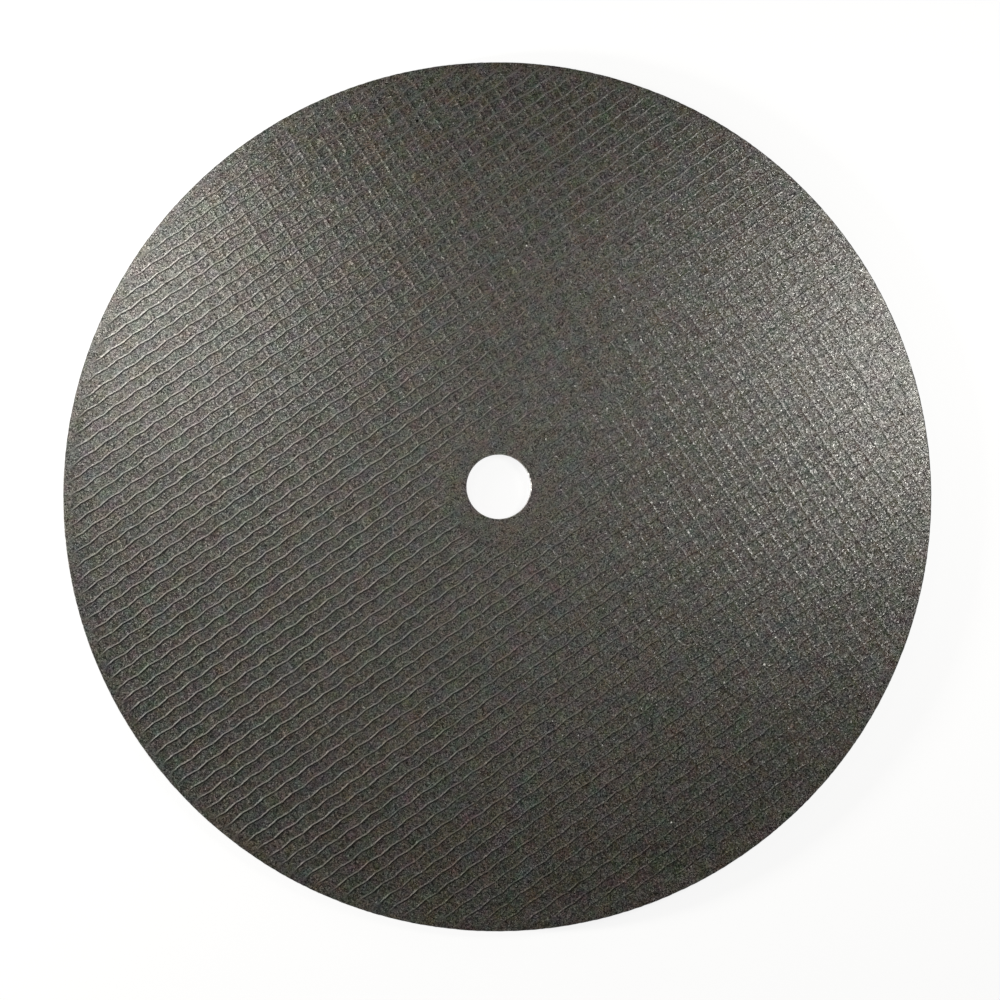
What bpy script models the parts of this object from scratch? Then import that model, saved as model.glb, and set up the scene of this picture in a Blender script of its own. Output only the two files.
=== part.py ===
"""A resin-bonded cut-off wheel, as one moulded disc with a bore.

Metres, +Z up. The wheel lies on its lower face, with its axis on Z and that face at Z = 0.
Both faces carry the fine parallel ridges that the threads of the reinforcing mesh leave in the
moulding. The ridges stand in a shallow recess, whose floor runs up to full thickness again at a
plain land round the bore and at a plain band along the rim.
"""

import math

import bmesh
import bpy
from mathutils import Matrix, Vector

# Overall sizes of the wheel.
WHEEL_DIAMETER = 0.300
BORE_DIAMETER = 0.02223
THICKNESS = 0.0030
RIM_CHAMFER = 0.00025
BORE_CHAMFER = 0.00020

# Plain land round the bore and plain band along the rim, and the slopes from them to the recess.
BORE_LAND_WIDTH = 0.0070
BORE_SLOPE_WIDTH = 0.0050
RIM_BAND_WIDTH = 0.0018
RIM_SLOPE_WIDTH = 0.0014

# Ridges of the reinforcing mesh: six threads to the inch.
RIDGE_PITCH = 0.0254 / 6
RIDGE_HEIGHT = 0.00015
RIDGE_FOOT_WIDTH = 0.00090
RIDGE_CREST_WIDTH = 0.00025
RIDGE_DIRECTION = math.radians(35.25)
RIDGE_OFFSET = 0.0020

# How far each cutter runs past the face that it cuts, as a share of the ridge height.
CUTTER_OVERRUN = 0.1

# Segments of the round shapes.
RIM_SEGMENTS = 240
FIELD_SEGMENTS = 120
BORE_SEGMENTS = 72

# Dark olive-grey bond with its grain.
BOND_COLOUR = (0.075, 0.070, 0.060, 1.0)
BOND_ROUGHNESS = 0.55

WHEEL_RADIUS = WHEEL_DIAMETER / 2
BORE_RADIUS = BORE_DIAMETER / 2
LAND_RADIUS = BORE_RADIUS + BORE_LAND_WIDTH
BAND_RADIUS = WHEEL_RADIUS - RIM_BAND_WIDTH
OVERRUN = CUTTER_OVERRUN * RIDGE_HEIGHT


def clear_scene():
    for scene_object in list(bpy.data.objects):
        bpy.data.objects.remove(scene_object, do_unlink=True)


def new_collection(name):
    collection = bpy.data.collections.new(name)
    bpy.context.scene.collection.children.link(collection)
    return collection


def new_object(name, bm, collection):
    mesh = bpy.data.meshes.new(name)
    bm.to_mesh(mesh)
    bm.free()
    made = bpy.data.objects.new(name, mesh)
    collection.objects.link(made)
    return made


def mark_as_cutter(made):
    made.hide_render = True
    made.display_type = "WIRE"


def turned(name, profile, closed, segments, collection):
    """A solid turned about Z from (radius, height) points that run down its outer side."""
    bm = bmesh.new()
    corners = [bm.verts.new((radius, 0, height)) for radius, height in profile]
    for upper, lower in zip(corners, corners[1:]):
        bm.edges.new((upper, lower))
    if closed:
        bm.edges.new((corners[-1], corners[0]))
    made = new_object(name, bm, collection)
    screw = made.modifiers.new("Turn about the axis", "SCREW")
    screw.axis = "Z"
    screw.angle = math.tau
    screw.steps = segments
    screw.render_steps = segments
    screw.use_merge_vertices = True
    screw.merge_threshold = 0.000001
    return made


def boolean(target, other, operation, name):
    cut = target.modifiers.new(name, "BOOLEAN")
    cut.operation = operation
    cut.solver = "EXACT"
    cut.object = other


def plain_disc(name, collection):
    """The disc before its bore and recesses, with its rim's two edges chamfered."""
    bm = bmesh.new()
    bmesh.ops.create_cone(
        bm,
        cap_ends=True,
        segments=RIM_SEGMENTS,
        radius1=WHEEL_RADIUS,
        radius2=WHEEL_RADIUS,
        depth=THICKNESS,
        matrix=Matrix.Translation((0, 0, THICKNESS / 2)),
    )
    disc = new_object(name, bm, collection)
    chamfer = disc.modifiers.new("Rim chamfer", "BEVEL")
    chamfer.width = RIM_CHAMFER
    chamfer.segments = 1
    chamfer.limit_method = "ANGLE"
    chamfer.angle_limit = math.radians(60)
    return disc


def bore_cutter(collection):
    """A plug for the bore, flared at 45 degrees where it cuts the two chamfers."""
    flare = BORE_CHAMFER + OVERRUN
    profile = [
        (0, THICKNESS + OVERRUN),
        (BORE_RADIUS + flare, THICKNESS + OVERRUN),
        (BORE_RADIUS, THICKNESS - BORE_CHAMFER),
        (BORE_RADIUS, BORE_CHAMFER),
        (BORE_RADIUS + flare, -OVERRUN),
        (0, -OVERRUN),
    ]
    cutter = turned("bore_cutter", profile, False, BORE_SEGMENTS, collection)
    mark_as_cutter(cutter)
    return cutter


def slope_radius(edge_radius, slope_width, depth):
    """Radius at a depth below the face, on a slope that starts at edge_radius on the face."""
    return edge_radius + slope_width * depth / RIDGE_HEIGHT


def field_ring(collection):
    """The ring that the recesses lie in, with the end slopes of both faces in its sides."""
    above = -2 * OVERRUN
    below = 2 * RIDGE_HEIGHT
    outer_edge = slope_radius(BAND_RADIUS, -RIM_SLOPE_WIDTH, above)
    outer_waist = slope_radius(BAND_RADIUS, -RIM_SLOPE_WIDTH, below)
    inner_edge = slope_radius(LAND_RADIUS, BORE_SLOPE_WIDTH, above)
    inner_waist = slope_radius(LAND_RADIUS, BORE_SLOPE_WIDTH, below)
    profile = [
        (outer_edge, THICKNESS - above),
        (outer_waist, THICKNESS - below),
        (outer_waist, below),
        (outer_edge, above),
        (inner_edge, above),
        (inner_waist, below),
        (inner_waist, THICKNESS - below),
        (inner_edge, THICKNESS - above),
    ]
    ring = turned("field_ring", profile, True, FIELD_SEGMENTS, collection)
    mark_as_cutter(ring)
    return ring


def gap_bar(bm, offset):
    """The gap between two ridges as a bar along X, offset in Y, with the ridges' flanks."""
    flank = (RIDGE_FOOT_WIDTH - RIDGE_CREST_WIDTH) / 2
    floor_half = (RIDGE_PITCH - RIDGE_FOOT_WIDTH) / 2
    top_half = floor_half + flank * (1 + CUTTER_OVERRUN)
    for corner in bmesh.ops.create_cube(bm, size=2)["verts"]:
        half_width = top_half if corner.co.z > 0 else floor_half
        height = THICKNESS + OVERRUN if corner.co.z > 0 else THICKNESS - RIDGE_HEIGHT
        corner.co = Vector((corner.co.x * WHEEL_RADIUS, offset + corner.co.y * half_width, height))


def ridge_gaps(collection):
    """The gaps between the upper face's ridges, and the same ones turned over for the lower face."""
    bm = bmesh.new()
    reach = math.ceil(WHEEL_RADIUS / RIDGE_PITCH) + 1
    for number in range(-reach, reach):
        gap_bar(bm, RIDGE_OFFSET + (number + 0.5) * RIDGE_PITCH)
    bmesh.ops.rotate(bm, verts=bm.verts, matrix=Matrix.Rotation(RIDGE_DIRECTION, 3, "Z"))
    lower = bmesh.ops.duplicate(bm, geom=bm.verts[:] + bm.edges[:] + bm.faces[:])
    bmesh.ops.rotate(
        bm,
        verts=[part for part in lower["geom"] if isinstance(part, bmesh.types.BMVert)],
        cent=(0, 0, THICKNESS / 2),
        matrix=Matrix.Rotation(math.pi, 3, "Y"),
    )
    gaps = new_object("ridge_gaps", bm, collection)
    boolean(gaps, field_ring(collection), "INTERSECT", "Keep to the field")
    mark_as_cutter(gaps)
    return gaps


def bond_material():
    material = bpy.data.materials.new("bonded_abrasive")
    material.use_nodes = True
    shader = material.node_tree.nodes["Principled BSDF"]
    shader.inputs["Base Color"].default_value = BOND_COLOUR
    shader.inputs["Roughness"].default_value = BOND_ROUGHNESS
    shader.inputs["Metallic"].default_value = 0.0
    return material


def cutoff_wheel(parts, cutters):
    wheel = plain_disc("cutoff_wheel", parts)
    boolean(wheel, bore_cutter(cutters), "DIFFERENCE", "Bore")
    boolean(wheel, ridge_gaps(cutters), "DIFFERENCE", "Gaps between the ridges")
    wheel.data.materials.append(bond_material())
    wheel.data.shade_smooth()
    wheel.data.set_sharp_from_angle(angle=math.radians(20))
    return wheel


clear_scene()
cutoff_wheel(new_collection("Cut-off wheel"), new_collection("Cutters"))
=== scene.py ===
"""The looks of the cut-off wheel: its moulded relief, its gritty bond, and a soft studio.

The relief is one closed mesh in place of the plain solid. Both families of the reinforcing mesh's
threads show through on each face, as low ridges in a shallow recess that fades out at the rim and
at the bore. Metres, +Z up, with the wheel's lower face at Z = 0.
"""

import math

import bpy
import numpy as np
from mathutils import Matrix, Vector
from mathutils.geometry import delaunay_2d_cdt

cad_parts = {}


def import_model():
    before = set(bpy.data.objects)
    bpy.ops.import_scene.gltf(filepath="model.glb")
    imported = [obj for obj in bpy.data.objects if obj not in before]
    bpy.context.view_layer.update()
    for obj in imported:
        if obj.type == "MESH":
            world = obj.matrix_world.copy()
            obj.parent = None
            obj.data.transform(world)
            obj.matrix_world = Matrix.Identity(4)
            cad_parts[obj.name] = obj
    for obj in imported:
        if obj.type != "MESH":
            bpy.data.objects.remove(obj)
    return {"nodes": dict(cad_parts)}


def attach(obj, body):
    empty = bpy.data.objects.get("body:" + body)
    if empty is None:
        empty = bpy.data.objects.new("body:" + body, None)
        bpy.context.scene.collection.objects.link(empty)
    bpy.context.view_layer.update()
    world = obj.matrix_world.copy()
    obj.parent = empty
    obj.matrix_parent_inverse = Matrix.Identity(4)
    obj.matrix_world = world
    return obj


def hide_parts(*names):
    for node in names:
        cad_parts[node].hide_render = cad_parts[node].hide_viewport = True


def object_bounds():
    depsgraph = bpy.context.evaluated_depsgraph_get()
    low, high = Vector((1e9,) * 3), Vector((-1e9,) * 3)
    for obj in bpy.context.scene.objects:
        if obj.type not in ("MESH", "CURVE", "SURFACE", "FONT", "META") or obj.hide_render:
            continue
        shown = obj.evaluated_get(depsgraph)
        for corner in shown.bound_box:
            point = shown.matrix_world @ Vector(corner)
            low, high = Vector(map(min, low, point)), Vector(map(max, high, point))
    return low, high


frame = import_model()
cad_low, cad_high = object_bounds()

NODE = "cutoff_wheel"
BODY = "root"

# The wheel, as the frame has it.
WHEEL_RADIUS = (cad_high.x - cad_low.x) / 2
THICKNESS = cad_high.z - cad_low.z
BORE_RADIUS = min(corner.co.xy.length for corner in frame["nodes"][NODE].data.vertices)

# Edges of the disc. The rim and the bore are a little ragged, within their chamfers.
RIM_CHAMFER = 0.00025
BORE_CHAMFER = 0.00020
RIM_BAND_WIDTH = 0.0008
BORE_BAND_WIDTH = 0.0010
RAGGEDNESS = 0.00010
RIM_SEGMENTS = 960
BORE_SEGMENTS = 144

# Recess that the ridges stand in, and the radii between which its floor runs up to the face.
RECESS_DEPTH = 0.00018
RIM_FADE = (0.1440, 0.1484)
BORE_FADE = (0.0150, 0.0240)

# Straight threads, six to the inch. Their height is a share of the recess's depth, UNDER is what is
# left of it beneath a crossing thread, and RISE is the share it gains at the rim towards +X and +Y.
STRAIGHT_PITCH = 0.0254 / 6
STRAIGHT_ANGLE = math.radians(35.25)
STRAIGHT_OFFSET = 0.00194
STRAIGHT_HEIGHT = 0.77
STRAIGHT_RISE = (-0.64, 0.18)
STRAIGHT_UNDER = 0.90

# Each crossing thread kinks all the straight ones to one side, and the next one to the other side.
KINK = 0.00029
KINK_REACH = 0.0019

# Crossing threads, which lie wider apart towards the right and are a little bowed.
CROSSING_PITCH = 0.00466
CROSSING_PITCH_GROWTH = 0.0000066
CROSSING_ANGLE = math.radians(-57.1)
CROSSING_OFFSET = 0.00343
CROSSING_BOW = 0.106
CROSSING_HEIGHT = 0.53
CROSSING_RISE = (0.26, 0.05)
CROSSING_UNDER = 0.60

# Cross-section of a ridge, and how far the threads stray in place and, as a share, in height. No
# stray is more than STRAY_LIMIT times that, and each half of the wheel draws from its own seed.
STRAIGHT_HALF_FOOT = 0.00047
CROSSING_HALF_FOOT = 0.00075
STRAY = 0.00005
HEIGHT_STRAY = 0.15
STRAY_LIMIT = 2
UPPER_SEED = 7
LOWER_SEED = 11

# Lattice lines across each straight thread, and across each crossing thread of the two faces.
STRAIGHT_STEPS = (-STRAIGHT_HALF_FOOT, 0, STRAIGHT_HALF_FOOT)
LOWER_STEPS = (-CROSSING_HALF_FOOT, 0, CROSSING_HALF_FOOT)
UPPER_STEPS = (-KINK_REACH, *LOWER_STEPS, KINK_REACH)

# Point value that is 1 on the straight threads' crests and 0 elsewhere.
THREAD = "thread"

# Distances at which points of the mesh count as one, and the angle that makes an edge sharp.
LATTICE_TOLERANCE = 1e-8
WELD_DISTANCE = 0.000001
SHARP_ANGLE = math.radians(4)

# Bond: its colour and its shine, and its grains, which differ in brightness, lean and roughness.
WHITE = (1, 1, 1, 1)
BOND_COLOUR = (0.0345, 0.0306, 0.0195, 1)
BOND_IOR = 2.40
GRAIN_SIZE = 0.00034
GRAIN_VARIATION = 0.8
GRAIN_LEAN = 0.16
GRAIN_ROUGHNESS = (0.37, 0.50)

# Brown and green patches. A noise round 0.5 is stretched and moved, for each of red, green and blue.
PATCH_SIZE = 0.0055
PATCH_DETAIL = 3
PATCH_ROUGHNESS = 0.6
PATCH_STRETCH = (2.9, 2.3, 3.8)
PATCH_SHIFT = (-0.45, -0.15, -0.9)

# Finish of the straight ridges, and painted shade on their flanks: CREST_GRIT is what is left
# of the grit, and the painted shade is darkest at FOOT_SHARE of the way from foot to crest. Both
# come in as the gain in height goes from the first of the rise below to the second, and the finish
# is full from FINISH_SHARE of the way up.
FINISH_AND_SHADE_RISE = (-0.45, 0.10)
FINISH_SHARE = 0.35
CREST_GRIT = 0.25
CREST_ROUGHNESS = 0.56
FOOT_SHARE = 0.2
# Brightness of the painted shade at its darkest.
FOOT_BRIGHTNESS = 0.55

# Dark edge along the rim: how far inside the rim it starts and where it is full, and how dark.
EDGE_START = 0.00045
EDGE_FULL = 0.0003
EDGE_BRIGHTNESS = 0.35

# Pale specks and dark chips on the upper face: X, Y and radius.
SPECKS = (
    (0.0911, -0.0610, 0.00042),
    (0.0586, -0.1140, 0.00034),
    (0.0098, 0.0843, 0.00034),
    (0.0650, 0.0973, 0.00030),
)
CHIPS = ((-0.0586, 0.1290, 0.00045), (-0.0287, 0.1287, 0.00050))
SPECK_COLOUR = (0.90, 0.90, 0.86, 1)
CHIP_BRIGHTNESS = 0.1

# Camera: its place, the way it looks, its lens, and the shift that frames the wheel as pictured.
CAMERA_PLACE = Vector((-0.00344, -0.01361, 0.50280))
CAMERA_AZIMUTH = math.radians(-8.35)
CAMERA_ELEVATION = math.radians(85.485)
CAMERA_LENS = 52.05
CAMERA_SENSOR = 36
CAMERA_SHIFT = (-0.0053, -0.0868)
CAMERA_NEAR = 0.01

# Lamps: azimuth and tilt from straight above in degrees, distance from the origin, and level there.
LAMPS = {
    "lamp_left": (150.4, 43.3, 0.273, 0.100),
    "lamp_right": (19.8, 47.1, 0.353, 0.211),
    "lamp_low_left": (145.8, 77.2, 0.270, 0.110),
    "lamp_low_far": (186.6, 82.0, 0.994, 0.275),
    "lamp_top": (-36.9, 5.7, 0.580, 0.034),
}
LAMP_SIZE = 0.08
LAMP_COLOUR = (1.0, 0.975, 0.912)
WORLD_LEVEL = 0.015

# Floor, a hair below the wheel: its paint, and the darker paint and the glow that are seen of it.
FLOOR_SIZE = 8.0
FLOOR_GAP = 0.00002
FLOOR_COLOUR = (0.80, 0.80, 0.80, 1)
FLOOR_SEEN_COLOUR = (0.20, 0.20, 0.20, 1)
FLOOR_GLOW = 0.88


def angled(angle):
    return np.array((math.cos(angle), math.sin(angle)))


def between(values, places):
    """Values given at whole places along the last axis, read at the places between them."""
    whole = np.floor(places).astype(int)
    share = places - whole
    return values[:, whole] * (1 - share) + values[:, whole + 1] * share


def faded(radius, start, end):
    """0 at the start radius, 1 at the end, and smooth between them."""
    share = np.clip((radius - start) / (end - start), 0, 1)
    return share * share * (3 - 2 * share)


def recess_depth(radius):
    """Depth of the recess's floor below the face."""
    return RECESS_DEPTH * faded(radius, *BORE_FADE) * (1 - faded(radius, *RIM_FADE))


def risen(x, y, rise):
    """How much higher the threads lie towards one side, with 1 at the centre."""
    return 1 + (rise[0] * x + rise[1] * y) / WHEEL_RADIUS


def thread_numbers(pitch):
    """Numbers of the threads that cover the wheel, with 0 next to its centre."""
    reach = math.ceil(WHEEL_RADIUS / pitch) + 2
    return np.arange(-reach, reach)


def relief(random, crossing_steps):
    """Points of the thread lattice, as grids with a row for each line along the straight threads.

    Returns X, Y, the height above the recess's floor as a share of its depth, and 1 on the straight
    threads' crests and 0 elsewhere.
    """
    straight = thread_numbers(STRAIGHT_PITCH)
    crossing = thread_numbers(CROSSING_PITCH)
    straight_step = np.tile(STRAIGHT_STEPS, len(straight))
    crossing_step = np.tile(crossing_steps, len(crossing))
    straight_lines = np.repeat(straight, len(STRAIGHT_STEPS))
    crossing_lines = np.repeat(crossing, len(crossing_steps))

    def stray(lines, threads, steps):
        """One stray for each thread where it crosses another, and what lies between along it."""
        values = random.normal(size=(len(lines), len(threads) + 2)).clip(-STRAY_LIMIT, STRAY_LIMIT)
        along = np.arange(len(threads) * len(steps)) / len(steps)
        return between(values, along)

    def along_straight():
        return np.repeat(stray(straight, crossing, crossing_steps), len(STRAIGHT_STEPS), axis=0)

    def along_crossing():
        return np.repeat(stray(crossing, straight, STRAIGHT_STEPS), len(crossing_steps), axis=0).T

    # Distances across the two families, and the points where they meet.
    straight_places = STRAIGHT_OFFSET + STRAIGHT_PITCH * straight_lines + straight_step
    kink = KINK * 0.5 * (1 + np.cos(math.pi * crossing_step / KINK_REACH))
    kink = np.where(crossing_lines % 2 == 0, kink, -kink)
    across_straight = straight_places[:, None] + kink[None, :] + STRAY * along_straight()

    crossing_places = CROSSING_OFFSET + CROSSING_PITCH * crossing_lines + crossing_step
    crossing_places = crossing_places + CROSSING_PITCH_GROWTH * crossing_lines**2 / 2
    bow = CROSSING_BOW * straight_places**2
    across_crossing = crossing_places[None, :] + bow[:, None] + STRAY * along_crossing()

    normals = np.array((angled(STRAIGHT_ANGLE + math.pi / 2), angled(CROSSING_ANGLE + math.pi / 2)))
    to_plane = np.linalg.inv(normals)
    x = to_plane[0, 0] * across_straight + to_plane[0, 1] * across_crossing
    y = to_plane[1, 0] * across_straight + to_plane[1, 1] * across_crossing

    # Heights. Each thread lies over and under those it crosses in turn, as woven.
    straight_crest = (straight_step == 0)[:, None]
    crossing_crest = (crossing_step == 0)[None, :]
    over = np.add.outer(straight_lines, crossing_lines) % 2 == 0
    straight_height = STRAIGHT_HEIGHT * np.where(over | ~crossing_crest, 1.0, STRAIGHT_UNDER)
    straight_height = straight_height * risen(x, y, STRAIGHT_RISE)
    crossing_height = CROSSING_HEIGHT * np.where(over, CROSSING_UNDER, 1.0)
    crossing_height = crossing_height * risen(x, y, CROSSING_RISE)
    straight_height = straight_crest * straight_height * (1 + HEIGHT_STRAY * along_straight())
    crossing_height = crossing_crest * crossing_height * (1 + HEIGHT_STRAY * along_crossing())
    thread = np.broadcast_to(straight_crest, x.shape).astype(float)
    return x, y, np.maximum(straight_height, crossing_height).clip(0, 1), thread


def circle(radius, segments):
    turn = np.arange(segments) * math.tau / segments
    return radius * np.cos(turn), radius * np.sin(turn)


def lattice_edges(kept):
    """Pairs of neighbours among the kept points of a grid, by their numbers in reading order."""
    numbers = np.where(kept, np.cumsum(kept).reshape(kept.shape) - 1, -1)
    pairs = []
    for one, other in ((numbers[:-1], numbers[1:]), (numbers[:, :-1], numbers[:, 1:])):
        both = (one >= 0) & (other >= 0)
        pairs += zip(one[both].tolist(), other[both].tolist())
    return pairs


def ring_edges(start, segments):
    return [(start + i, start + (i + 1) % segments) for i in range(segments)]


class HalfWheel:
    """The upper half of the wheel, from its face down to the plane half way through it.

    It has points, faces as rows of point numbers, and threads, which is 1 for each point on a
    straight thread's crest and 0 for the others.
    """

    def __init__(self, seed, crossing_steps):
        self.random = np.random.default_rng(seed)
        rim, bore = self.face(crossing_steps)
        self.rings(rim, RIM_SEGMENTS, WHEEL_RADIUS, -1, RIM_CHAMFER, False)
        self.rings(bore, BORE_SEGMENTS, BORE_RADIUS, 1, BORE_CHAMFER, True)
        self.threads += [0.0] * (len(self.points) - len(self.threads))

    def face(self, crossing_steps):
        """The relief between two rings. Returns the first point of each ring."""
        outer = WHEEL_RADIUS - RIM_CHAMFER - RIM_BAND_WIDTH
        inner = BORE_RADIUS + BORE_CHAMFER + BORE_BAND_WIDTH
        x, y, crest, thread = relief(self.random, crossing_steps)
        radius = np.hypot(x, y)
        kept = (radius < outer - STRAIGHT_HALF_FOOT) & (radius > inner + STRAIGHT_HALF_FOOT)
        pairs = lattice_edges(kept)
        x, y, crest = x[kept], y[kept], crest[kept]
        self.threads = thread[kept].tolist()
        rim = len(x)
        bore = rim + RIM_SEGMENTS
        pairs += ring_edges(rim, RIM_SEGMENTS) + ring_edges(bore, BORE_SEGMENTS)
        for size, segments in ((outer, RIM_SEGMENTS), (inner, BORE_SEGMENTS)):
            ring_x, ring_y = circle(size, segments)
            x = np.append(x, ring_x)
            y = np.append(y, ring_y)
            crest = np.append(crest, np.zeros(segments))
        z = THICKNESS - recess_depth(np.hypot(x, y)) * (1 - crest)
        corners = [Vector(corner) for corner in zip(x.tolist(), y.tolist())]
        triangles = delaunay_2d_cdt(corners, pairs, [], 0, LATTICE_TOLERANCE)[2]
        self.points = list(zip(x.tolist(), y.tolist(), z.tolist()))
        # A triangle whose points all lie on the inner ring fills the bore, and is left out.
        self.faces = [corner for corner in triangles if min(corner) < bore]
        return rim, bore

    def rings(self, start, segments, radius, inward, chamfer, flipped):
        """The chamfer and half the wall, outward or inward from a ring of the face."""
        x, y = circle(1, segments)
        rough = RAGGEDNESS * self.random.random((2, segments))
        flat = np.zeros(segments)
        insets = (chamfer + rough[0], rough[1], flat)
        depths = (flat, chamfer + rough[0], flat + THICKNESS / 2)
        for inset, depth in zip(insets, depths):
            size = radius + inward * inset
            ring = len(self.points)
            self.points += zip((size * x).tolist(), (size * y).tolist(), (THICKNESS - depth).tolist())
            for i in range(segments):
                quad = (start + i, ring + i, ring + (i + 1) % segments, start + (i + 1) % segments)
                self.faces.append(quad[::-1] if flipped else quad)
            start = ring


def wheel_mesh():
    """Two halves, the lower one turned over about Y."""
    upper = HalfWheel(UPPER_SEED, UPPER_STEPS)
    lower = HalfWheel(LOWER_SEED, LOWER_STEPS)
    turn = Matrix.Translation((0, 0, THICKNESS)) @ Matrix.Rotation(math.pi, 4, "Y")
    count = len(upper.points)
    points = upper.points + [tuple(turn @ Vector(point)) for point in lower.points]
    faces = upper.faces + [[corner + count for corner in face] for face in lower.faces]
    mesh = bpy.data.meshes.new("moulded_wheel")
    mesh.from_pydata(points, [], faces)
    thread = mesh.attributes.new(THREAD, "FLOAT", "POINT")
    thread.data.foreach_set("value", upper.threads + lower.threads)
    return mesh


class Nodes:
    """Adds shader nodes to a material or a world, whose tree is emptied first."""

    def __init__(self, holder):
        holder.use_nodes = True
        self.tree = holder.node_tree
        self.tree.nodes.clear()

    def add(self, kind, inputs=None, **settings):
        """Outputs of a new node with its settings, its values and the links that come into it."""
        made = self.tree.nodes.new(kind)
        for name, value in settings.items():
            setattr(made, name, value)
        for name, value in (inputs or {}).items():
            if isinstance(value, bpy.types.NodeSocket):
                self.tree.links.new(value, made.inputs[name])
            else:
                made.inputs[name].default_value = value
        return made.outputs

    def maths(self, operation, *values):
        return self.add("ShaderNodeMath", dict(enumerate(values)), operation=operation)["Value"]

    def vectors(self, operation, *values, result="Vector"):
        return self.add("ShaderNodeVectorMath", dict(enumerate(values)), operation=operation)[result]

    def ramp(self, value, low, high, to_low=0.0, to_high=1.0):
        """to_low where the value is low, to_high where it is high, and straight between them."""
        inputs = {"Value": value, 1: low, 2: high, 3: to_low, 4: to_high}
        return self.add("ShaderNodeMapRange", inputs)["Result"]

    def mixed(self, share, one, other, blend="MIX"):
        inputs = {0: share, 6: one, 7: other}
        return self.add("ShaderNodeMix", inputs, data_type="RGBA", blend_type=blend)[2]


def spotted(nodes, place, spots):
    """1 within any of the spots on the upper face, and 0 elsewhere."""
    total = 0.0
    for x, y, radius in spots:
        apart = nodes.vectors("DISTANCE", place, (x, y, THICKNESS), result="Value")
        total = nodes.maths("MAXIMUM", total, nodes.maths("LESS_THAN", apart, radius))
    return total


def finish_and_shade_share(nodes, place):
    """How far the straight ridges have their own finish and painted shade at their feet: 0 where they
    lie low, 1 where tall.
    """
    towards = (STRAIGHT_RISE[0] / WHEEL_RADIUS, STRAIGHT_RISE[1] / WHEEL_RADIUS, 0)
    rise = nodes.vectors("DOT_PRODUCT", place, towards, result="Value")
    return nodes.ramp(rise, *FINISH_AND_SHADE_RISE)


def foot_shade(nodes, thread, finish_and_shade):
    """Brightness of the painted shade near a straight ridge's foot, as far as the ridge has its
    finish.
    """
    from_foot = nodes.maths("ABSOLUTE", nodes.maths("SUBTRACT", thread, FOOT_SHARE))
    darkest = nodes.ramp(finish_and_shade, 0, 1, 1, FOOT_BRIGHTNESS)
    return nodes.ramp(from_foot, 0, FOOT_SHARE, darkest, 1)


def edge_shade(nodes, place):
    """Brightness that falls along the rim's edge."""
    flat = nodes.vectors("MULTIPLY", place, (1, 1, 0))
    radius = nodes.vectors("LENGTH", flat, result="Value")
    return nodes.ramp(radius, WHEEL_RADIUS - EDGE_START, WHEEL_RADIUS - EDGE_FULL, 1, EDGE_BRIGHTNESS)


def grain_brightness(nodes, cells, loose, shades):
    """Brightness of each grain round 1, as far as the grit is loose, under the given shades."""
    white_noise = nodes.add("ShaderNodeTexWhiteNoise", {"Vector": cells["Position"]})
    grain = nodes.ramp(white_noise["Value"], 0, 1, -GRAIN_VARIATION, GRAIN_VARIATION)
    brightness = nodes.maths("MULTIPLY_ADD", grain, loose, 1.0)
    for shade in shades:
        brightness = nodes.maths("MULTIPLY", brightness, shade)
    return brightness


def grain_colour(nodes, place, brightness):
    """The bond's colour in its patches and grains, with the pale specks on it."""
    inputs = {
        "Vector": place,
        "Scale": 1 / PATCH_SIZE,
        "Detail": PATCH_DETAIL,
        "Roughness": PATCH_ROUGHNESS,
    }
    patches = nodes.add("ShaderNodeTexNoise", inputs)["Color"]
    tint = nodes.vectors("MULTIPLY_ADD", patches, PATCH_STRETCH, PATCH_SHIFT)
    colour = nodes.mixed(1.0, BOND_COLOUR, tint, "MULTIPLY")
    colour = nodes.mixed(1.0, colour, brightness, "MULTIPLY")
    return nodes.mixed(spotted(nodes, place, SPECKS), colour, SPECK_COLOUR)


def grain_roughness(nodes, cells, crest):
    """Roughness of each grain, and of the ridges' crests."""
    gloss = nodes.add("ShaderNodeTexWhiteNoise", {"Vector": cells["Color"]})
    roughness = nodes.ramp(gloss["Value"], 0, 1, *GRAIN_ROUGHNESS)
    return nodes.ramp(crest, 0, 1, roughness, CREST_ROUGHNESS)


def grain_normal(nodes, cells, loose):
    """The surface's normal, which leans its own way on each grain, as far as the grit is loose."""
    spread = (2 * GRAIN_LEAN, 2 * GRAIN_LEAN, 2 * GRAIN_LEAN)
    middle = (-GRAIN_LEAN, -GRAIN_LEAN, -GRAIN_LEAN)
    lean = nodes.vectors("MULTIPLY_ADD", cells["Color"], spread, middle)
    lean = nodes.mixed(loose, (0, 0, 0, 1), lean)
    normal = nodes.add("ShaderNodeNewGeometry")["Normal"]
    return nodes.vectors("NORMALIZE", nodes.vectors("ADD", normal, lean))


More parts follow.
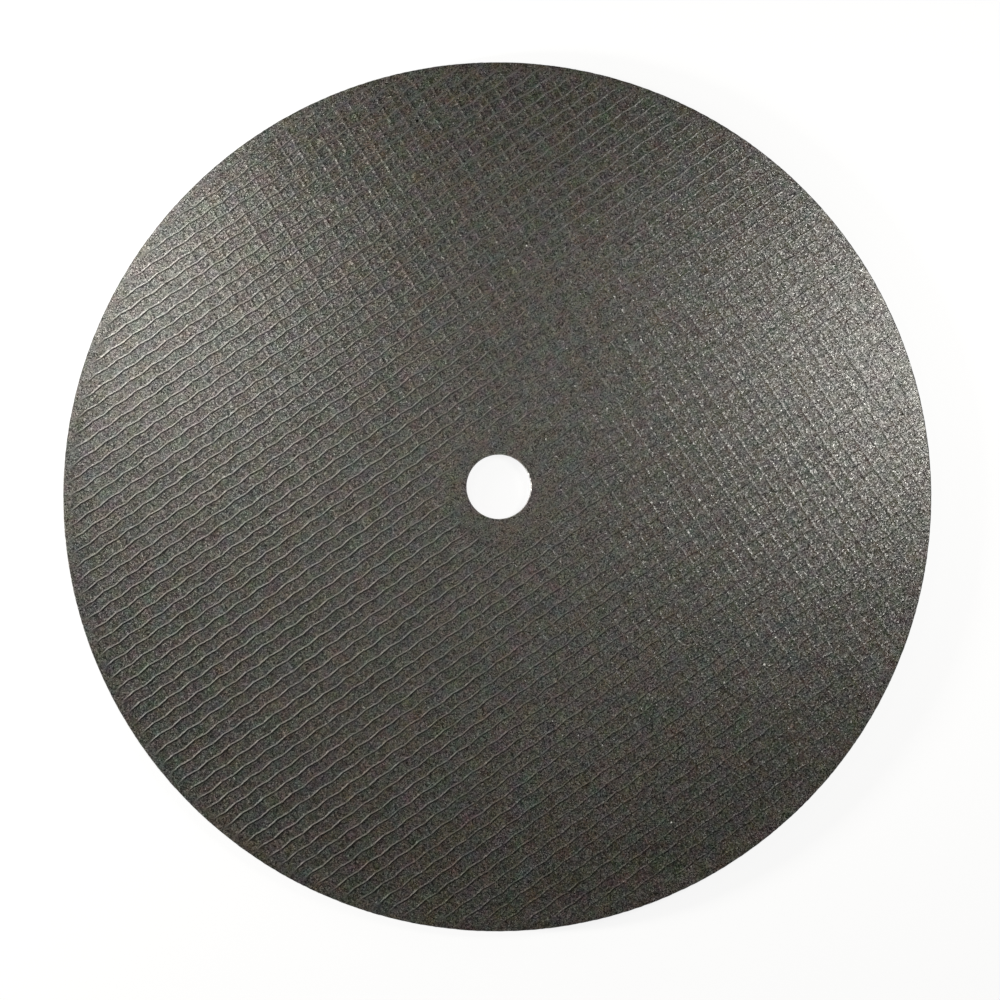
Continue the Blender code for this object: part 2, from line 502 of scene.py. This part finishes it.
def bond_material():
    """Dark olive-grey resin bond, full of grit, with brown and green patches and duller ridges, and
    painted shade near the ridges' feet.
    """
    material = bpy.data.materials.new("bonded_abrasive")
    nodes = Nodes(material)
    place = nodes.add("ShaderNodeTexCoord")["Object"]
    cells = nodes.add("ShaderNodeTexVoronoi", {"Vector": place, "Scale": 1 / GRAIN_SIZE})
    thread = nodes.add("ShaderNodeAttribute", attribute_name=THREAD)["Fac"]
    finish_and_shade = finish_and_shade_share(nodes, place)
    crest = nodes.ramp(thread, 0, FINISH_SHARE, 0, finish_and_shade)
    loose = nodes.ramp(crest, 0, 1, 1, CREST_GRIT)
    chips = nodes.ramp(spotted(nodes, place, CHIPS), 0, 1, 1, CHIP_BRIGHTNESS)
    # The first of these is painted shade on the straight ridges' flanks near their feet.
    shades = (foot_shade(nodes, thread, finish_and_shade), edge_shade(nodes, place), chips)
    brightness = grain_brightness(nodes, cells, loose, shades)
    inputs = {
        "Base Color": grain_colour(nodes, place, brightness),
        "Roughness": grain_roughness(nodes, cells, crest),
        # The same brightness, painted shade included, also tints the reflection.
        "Specular Tint": nodes.mixed(1.0, WHITE, brightness, "MULTIPLY"),
        "Normal": grain_normal(nodes, cells, loose),
        "IOR": BOND_IOR,
    }
    shader = nodes.add("ShaderNodeBsdfPrincipled", inputs)["BSDF"]
    nodes.add("ShaderNodeOutputMaterial", {"Surface": shader})
    return material


def new_object(name, data):
    made = bpy.data.objects.new(name, data)
    bpy.context.scene.collection.objects.link(made)
    return made


def wheel():
    """The relief in place of the plain solid, with its two halves welded where they meet."""
    piece = new_object("moulded_wheel", wheel_mesh())
    weld = piece.modifiers.new("Weld", "WELD")
    weld.merge_threshold = WELD_DISTANCE
    piece.data.materials.append(bond_material())
    piece.data.shade_smooth()
    piece.data.set_sharp_from_angle(angle=SHARP_ANGLE)
    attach(piece, BODY)
    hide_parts(NODE)


def camera():
    made = new_object("camera", bpy.data.cameras.new("camera"))
    flat = math.cos(CAMERA_ELEVATION)
    back = Vector(
        (
            math.sin(CAMERA_AZIMUTH) * flat,
            -math.cos(CAMERA_AZIMUTH) * flat,
            math.sin(CAMERA_ELEVATION),
        )
    )
    right = (Vector((1, 0, 0)) - back.x * back).normalized()
    turn = Matrix((right, back.cross(right), back)).transposed().to_4x4()
    made.matrix_world = Matrix.Translation(CAMERA_PLACE) @ turn
    made.data.lens = CAMERA_LENS
    made.data.sensor_width = CAMERA_SENSOR
    made.data.shift_x, made.data.shift_y = CAMERA_SHIFT
    made.data.clip_start = CAMERA_NEAR
    bpy.context.scene.camera = made


def lamp(name, azimuth, tilt, distance, level):
    """A square soft light that faces the wheel's centre, and lights white paper there to a level."""
    data = bpy.data.lights.new(name, "AREA")
    data.shape = "SQUARE"
    data.size = LAMP_SIZE
    data.energy = level * (math.pi * distance) ** 2 / math.cos(tilt)
    data.color = LAMP_COLOUR
    flat = math.sin(tilt)
    towards = Vector((math.cos(azimuth) * flat, math.sin(azimuth) * flat, math.cos(tilt)))
    made = new_object(name, data)
    made.location = towards * distance
    made.rotation_euler = towards.to_track_quat("Z", "Y").to_euler()
    made.visible_camera = False


def world():
    """White where the camera looks past the floor, and otherwise only a faint light."""
    made = bpy.data.worlds.new("studio")
    nodes = Nodes(made)
    path = nodes.add("ShaderNodeLightPath")
    level = nodes.ramp(path["Is Camera Ray"], 0, 1, WORLD_LEVEL, 1.0)
    background = nodes.add("ShaderNodeBackground", {"Color": WHITE, "Strength": level})
    nodes.add("ShaderNodeOutputWorld", {"Surface": background["Background"]})
    bpy.context.scene.world = made


def floor_material():
    """Pale paint, which is seen, also in reflections and through glass, as a glow with a shadow."""
    material = bpy.data.materials.new("pale_floor")
    nodes = Nodes(material)
    path = nodes.add("ShaderNodeLightPath")
    looked = nodes.maths("MAXIMUM", path["Is Camera Ray"], path["Is Glossy Ray"])
    looked = nodes.maths("MAXIMUM", looked, path["Is Transmission Ray"])
    paint = nodes.add("ShaderNodeBsdfDiffuse", {"Color": FLOOR_COLOUR})["BSDF"]
    pale = nodes.add("ShaderNodeBsdfDiffuse", {"Color": FLOOR_SEEN_COLOUR})["BSDF"]
    glow = nodes.add("ShaderNodeEmission", {"Color": WHITE, "Strength": FLOOR_GLOW})["Emission"]
    seen = nodes.add("ShaderNodeAddShader", {0: pale, 1: glow})["Shader"]
    shown = nodes.add("ShaderNodeMixShader", {0: looked, 1: paint, 2: seen})["Shader"]
    nodes.add("ShaderNodeOutputMaterial", {"Surface": shown})
    return material


def floor():
    half = FLOOR_SIZE / 2
    corners = ((-half, -half), (half, -half), (half, half), (-half, half))
    mesh = bpy.data.meshes.new("floor")
    mesh.from_pydata([(x, y, -FLOOR_GAP) for x, y in corners], [], [(0, 1, 2, 3)])
    mesh.materials.append(floor_material())
    made = new_object("floor", mesh)


camera()
wheel()
floor()
world()
for lamp_name, (azimuth, tilt, distance, level) in LAMPS.items():
    lamp(lamp_name, math.radians(azimuth), math.radians(tilt), distance, level)
bpy.context.scene.view_settings.view_transform = "Standard"
